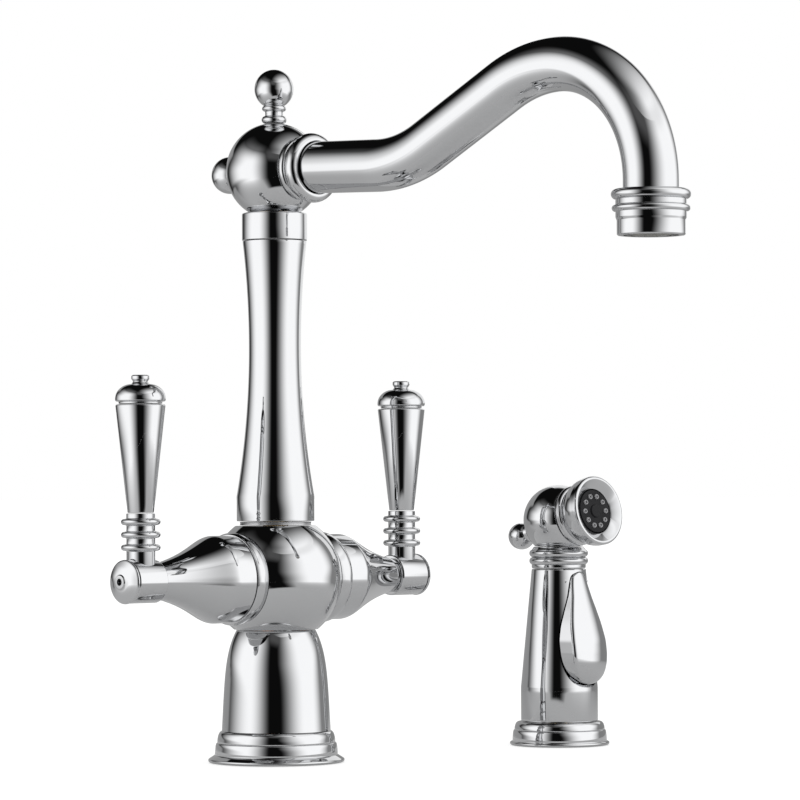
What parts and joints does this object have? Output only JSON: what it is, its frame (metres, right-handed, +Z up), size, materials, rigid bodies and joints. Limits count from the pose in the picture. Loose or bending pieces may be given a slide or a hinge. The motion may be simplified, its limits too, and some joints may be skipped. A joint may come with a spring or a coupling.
{
  "type": "side spray kitchen faucet",
  "caption": "Kitchen faucet with a swivelling swan-neck spout, a lever handle on each side and a separate pull-up side spray in its own deck holder.",
  "frame": {"origin": "centre of the faucet's base on the deck plane, at the lower end of its mounting stud", "axes": "+Z up along the column; -Y forward, along the spout at rest; X along the axis of both handles, with the side spray at +X"},
  "size_m": [0.3087, 0.303, 0.3378],
  "materials": {
    "polished_chrome": "mirror polished chrome plate on brass",
    "brass": "turned, unplated",
    "copper": "drawn tube",
    "steel": "turned stainless steel",
    "rubber": "matt black",
    "nylon": "off-white moulded plastic"
  },
  "bodies": {
    "faucet": {"base_gasket": "rubber", "base_flange": "polished_chrome", "pedestal": "polished_chrome", "mounting_stud": "steel", "hot_supply_tube": "copper", "cold_supply_tube": "copper", "spray_supply_tube": "copper", "valve_body": "polished_chrome", "column_seat_ring": "steel", "column": "polished_chrome", "diverter": "brass", "right_trim_ring": "polished_chrome", "right_bonnet": "polished_chrome", "right_cartridge": "brass", "right_bonnet_nut": "brass", "left_trim_ring": "polished_chrome", "left_bonnet": "polished_chrome", "left_cartridge": "brass", "left_bonnet_nut": "brass", "spray_gasket": "rubber", "spray_flange": "polished_chrome", "spray_guide": "nylon"},
    "right_handle": {"right_spindle": "brass", "right_hub": "polished_chrome", "right_hub_cap": "polished_chrome", "right_hub_screw": "steel", "right_lever_stem": "polished_chrome", "right_lever_grip": "polished_chrome", "right_lever_cap": "polished_chrome"},
    "left_handle": {"left_spindle": "brass", "left_hub": "polished_chrome", "left_hub_cap": "polished_chrome", "left_hub_screw": "steel", "left_lever_stem": "polished_chrome", "left_lever_grip": "polished_chrome", "left_lever_cap": "polished_chrome"},
    "spout": {"glide_ring": "nylon", "swivel_collar": "polished_chrome", "spout_spigot": "brass", "upper_o_ring": "rubber", "lower_o_ring": "rubber", "spout_ball": "polished_chrome", "top_finial": "polished_chrome", "rear_finial": "polished_chrome", "spout_ring": "polished_chrome", "spout_tube": "polished_chrome", "outlet_collar": "polished_chrome", "aerator": "nylon"},
    "spray_wand": {"hose_coupling": "brass", "wand_body": "polished_chrome", "trigger_pin": "steel", "valve_block": "nylon", "valve_spring": "steel", "wand_neck_ring": "polished_chrome", "wand_ball": "polished_chrome", "wand_knob": "polished_chrome", "spray_bell": "polished_chrome", "spray_face": "rubber"},
    "spray_trigger": {"trigger": "polished_chrome"},
    "spray_plunger": {"valve_plunger": "steel"}
  },
  "joints": [
    {"name": "spout_swivel", "type": "hinge", "parent": "faucet", "child": "spout", "pos_m": [0, 0, 0.26], "axis": [0, 0, 1], "continuous": true},
    {"name": "right_handle_turn", "type": "hinge", "parent": "faucet", "child": "right_handle", "pos_m": [0.08, 0, 0.08934], "axis": [1, 0, 0], "range_deg": [0, 90]},
    {"name": "left_handle_turn", "type": "hinge", "parent": "faucet", "child": "left_handle", "pos_m": [-0.08, 0, 0.08934], "axis": [1, 0, 0], "range_deg": [0, 90]},
    {"name": "spray_lift", "type": "slide", "parent": "faucet", "child": "spray_wand", "axis": [0, 0, 1], "range_m": [0, 0.1]},
    {"name": "trigger_press", "type": "hinge", "parent": "spray_wand", "child": "spray_trigger", "pos_m": [0.1826, -0.0304, 0.0846], "axis": [1, 0, 0], "range_deg": [0, 5], "stiffness_Nm_per_rad": 1, "springref_deg": -2.86},
    {"name": "plunger_travel", "type": "slide", "parent": "spray_wand", "child": "spray_plunger", "axis": [0, 1, 0], "range_m": [0, 0.0025], "deforming": ["valve_spring"]}
  ],
  "couplings": [
    {"joint": "plunger_travel", "follows": "trigger_press", "m_per_rad": 0.0285}
  ]
}
